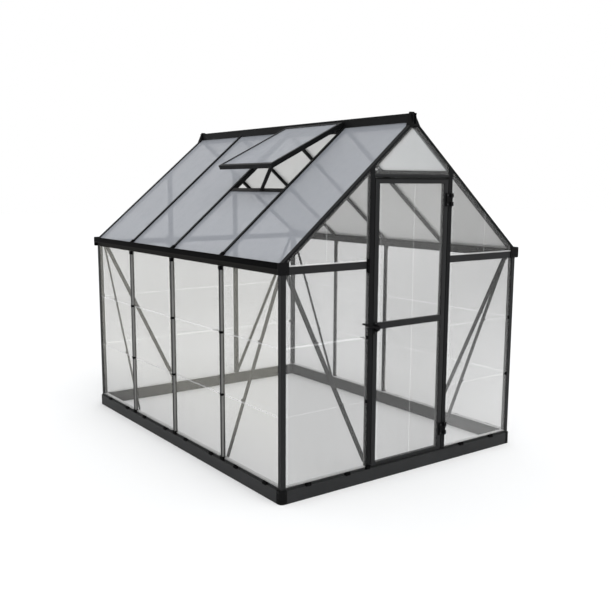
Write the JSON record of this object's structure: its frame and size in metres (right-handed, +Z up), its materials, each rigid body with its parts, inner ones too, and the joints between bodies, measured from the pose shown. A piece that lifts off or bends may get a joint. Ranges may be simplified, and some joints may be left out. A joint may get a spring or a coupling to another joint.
{
  "type": "greenhouse",
  "caption": "Walk-in greenhouse with clear sheet walls, a dark metal frame on a raised base, a pitched translucent roof with an open vent, and a hinged front door with a lever handle.",
  "frame": {"origin": "on the ground, under the middle of the overall length and width, handle included", "axes": "+Z up, +Y from the door towards the back wall along the ridge, +X to the right seen from in front of the door"},
  "size_m": [1.881, 2.495, 2.106],
  "materials": {
    "frame_metal": "satin dark grey",
    "base_steel": "satin dark grey",
    "black_plastic": "matte black",
    "clear_sheet": "clear gloss",
    "roof_sheet": "translucent, faintly ribbed"
  },
  "bodies": {
    "frame": {"base_front_rail": "base_steel", "base_back_rail": "base_steel", "base_left_rail": "base_steel", "base_right_rail": "base_steel", "base_corners": "black_plastic", "wall_sills": "frame_metal", "door_threshold": "base_steel", "corner_posts": "frame_metal", "left_studs": "frame_metal", "right_studs": "frame_metal", "back_studs": "frame_metal", "door_jambs": "frame_metal", "door_header": "frame_metal", "front_gable_rails": "frame_metal", "back_gable_rails": "frame_metal", "left_gutter": "frame_metal", "right_gutter": "frame_metal", "gutter_caps": "black_plastic", "front_rafters": "frame_metal", "back_rafters": "frame_metal", "left_roof_bars": "frame_metal", "right_roof_bars": "frame_metal", "ridge_beam": "frame_metal", "ridge_caps": "black_plastic", "side_braces": "frame_metal", "gable_braces": "frame_metal", "left_panes": "clear_sheet", "right_panes": "clear_sheet", "front_panes": "clear_sheet", "back_panes": "clear_sheet", "pane_strips": "clear_sheet", "left_roof_sheets": "roof_sheet", "right_roof_sheets": "roof_sheet", "vent_sill": "frame_metal", "vent_side_rails": "frame_metal", "vent_end_rails": "frame_metal", "vent_pane": "roof_sheet", "vent_stay": "black_plastic", "jamb_hinges": "black_plastic"},
    "door": {"door_stiles": "frame_metal", "door_rails": "frame_metal", "door_panes": "clear_sheet", "door_hinges": "black_plastic", "handle_plates": "black_plastic"},
    "handle": {"handle_lever": "black_plastic"}
  },
  "joints": [
    {"name": "door_swing", "type": "hinge", "parent": "frame", "child": "door", "pos_m": [0.303, -1.2235, 0.91], "axis": [0, 0, 1], "range_deg": [0, 150]},
    {"name": "handle_turn", "type": "hinge", "parent": "door", "child": "handle", "pos_m": [-0.2685, -1.2115, 0.898], "axis": [0, -1, 0], "range_deg": [0, 90]}
  ]
}
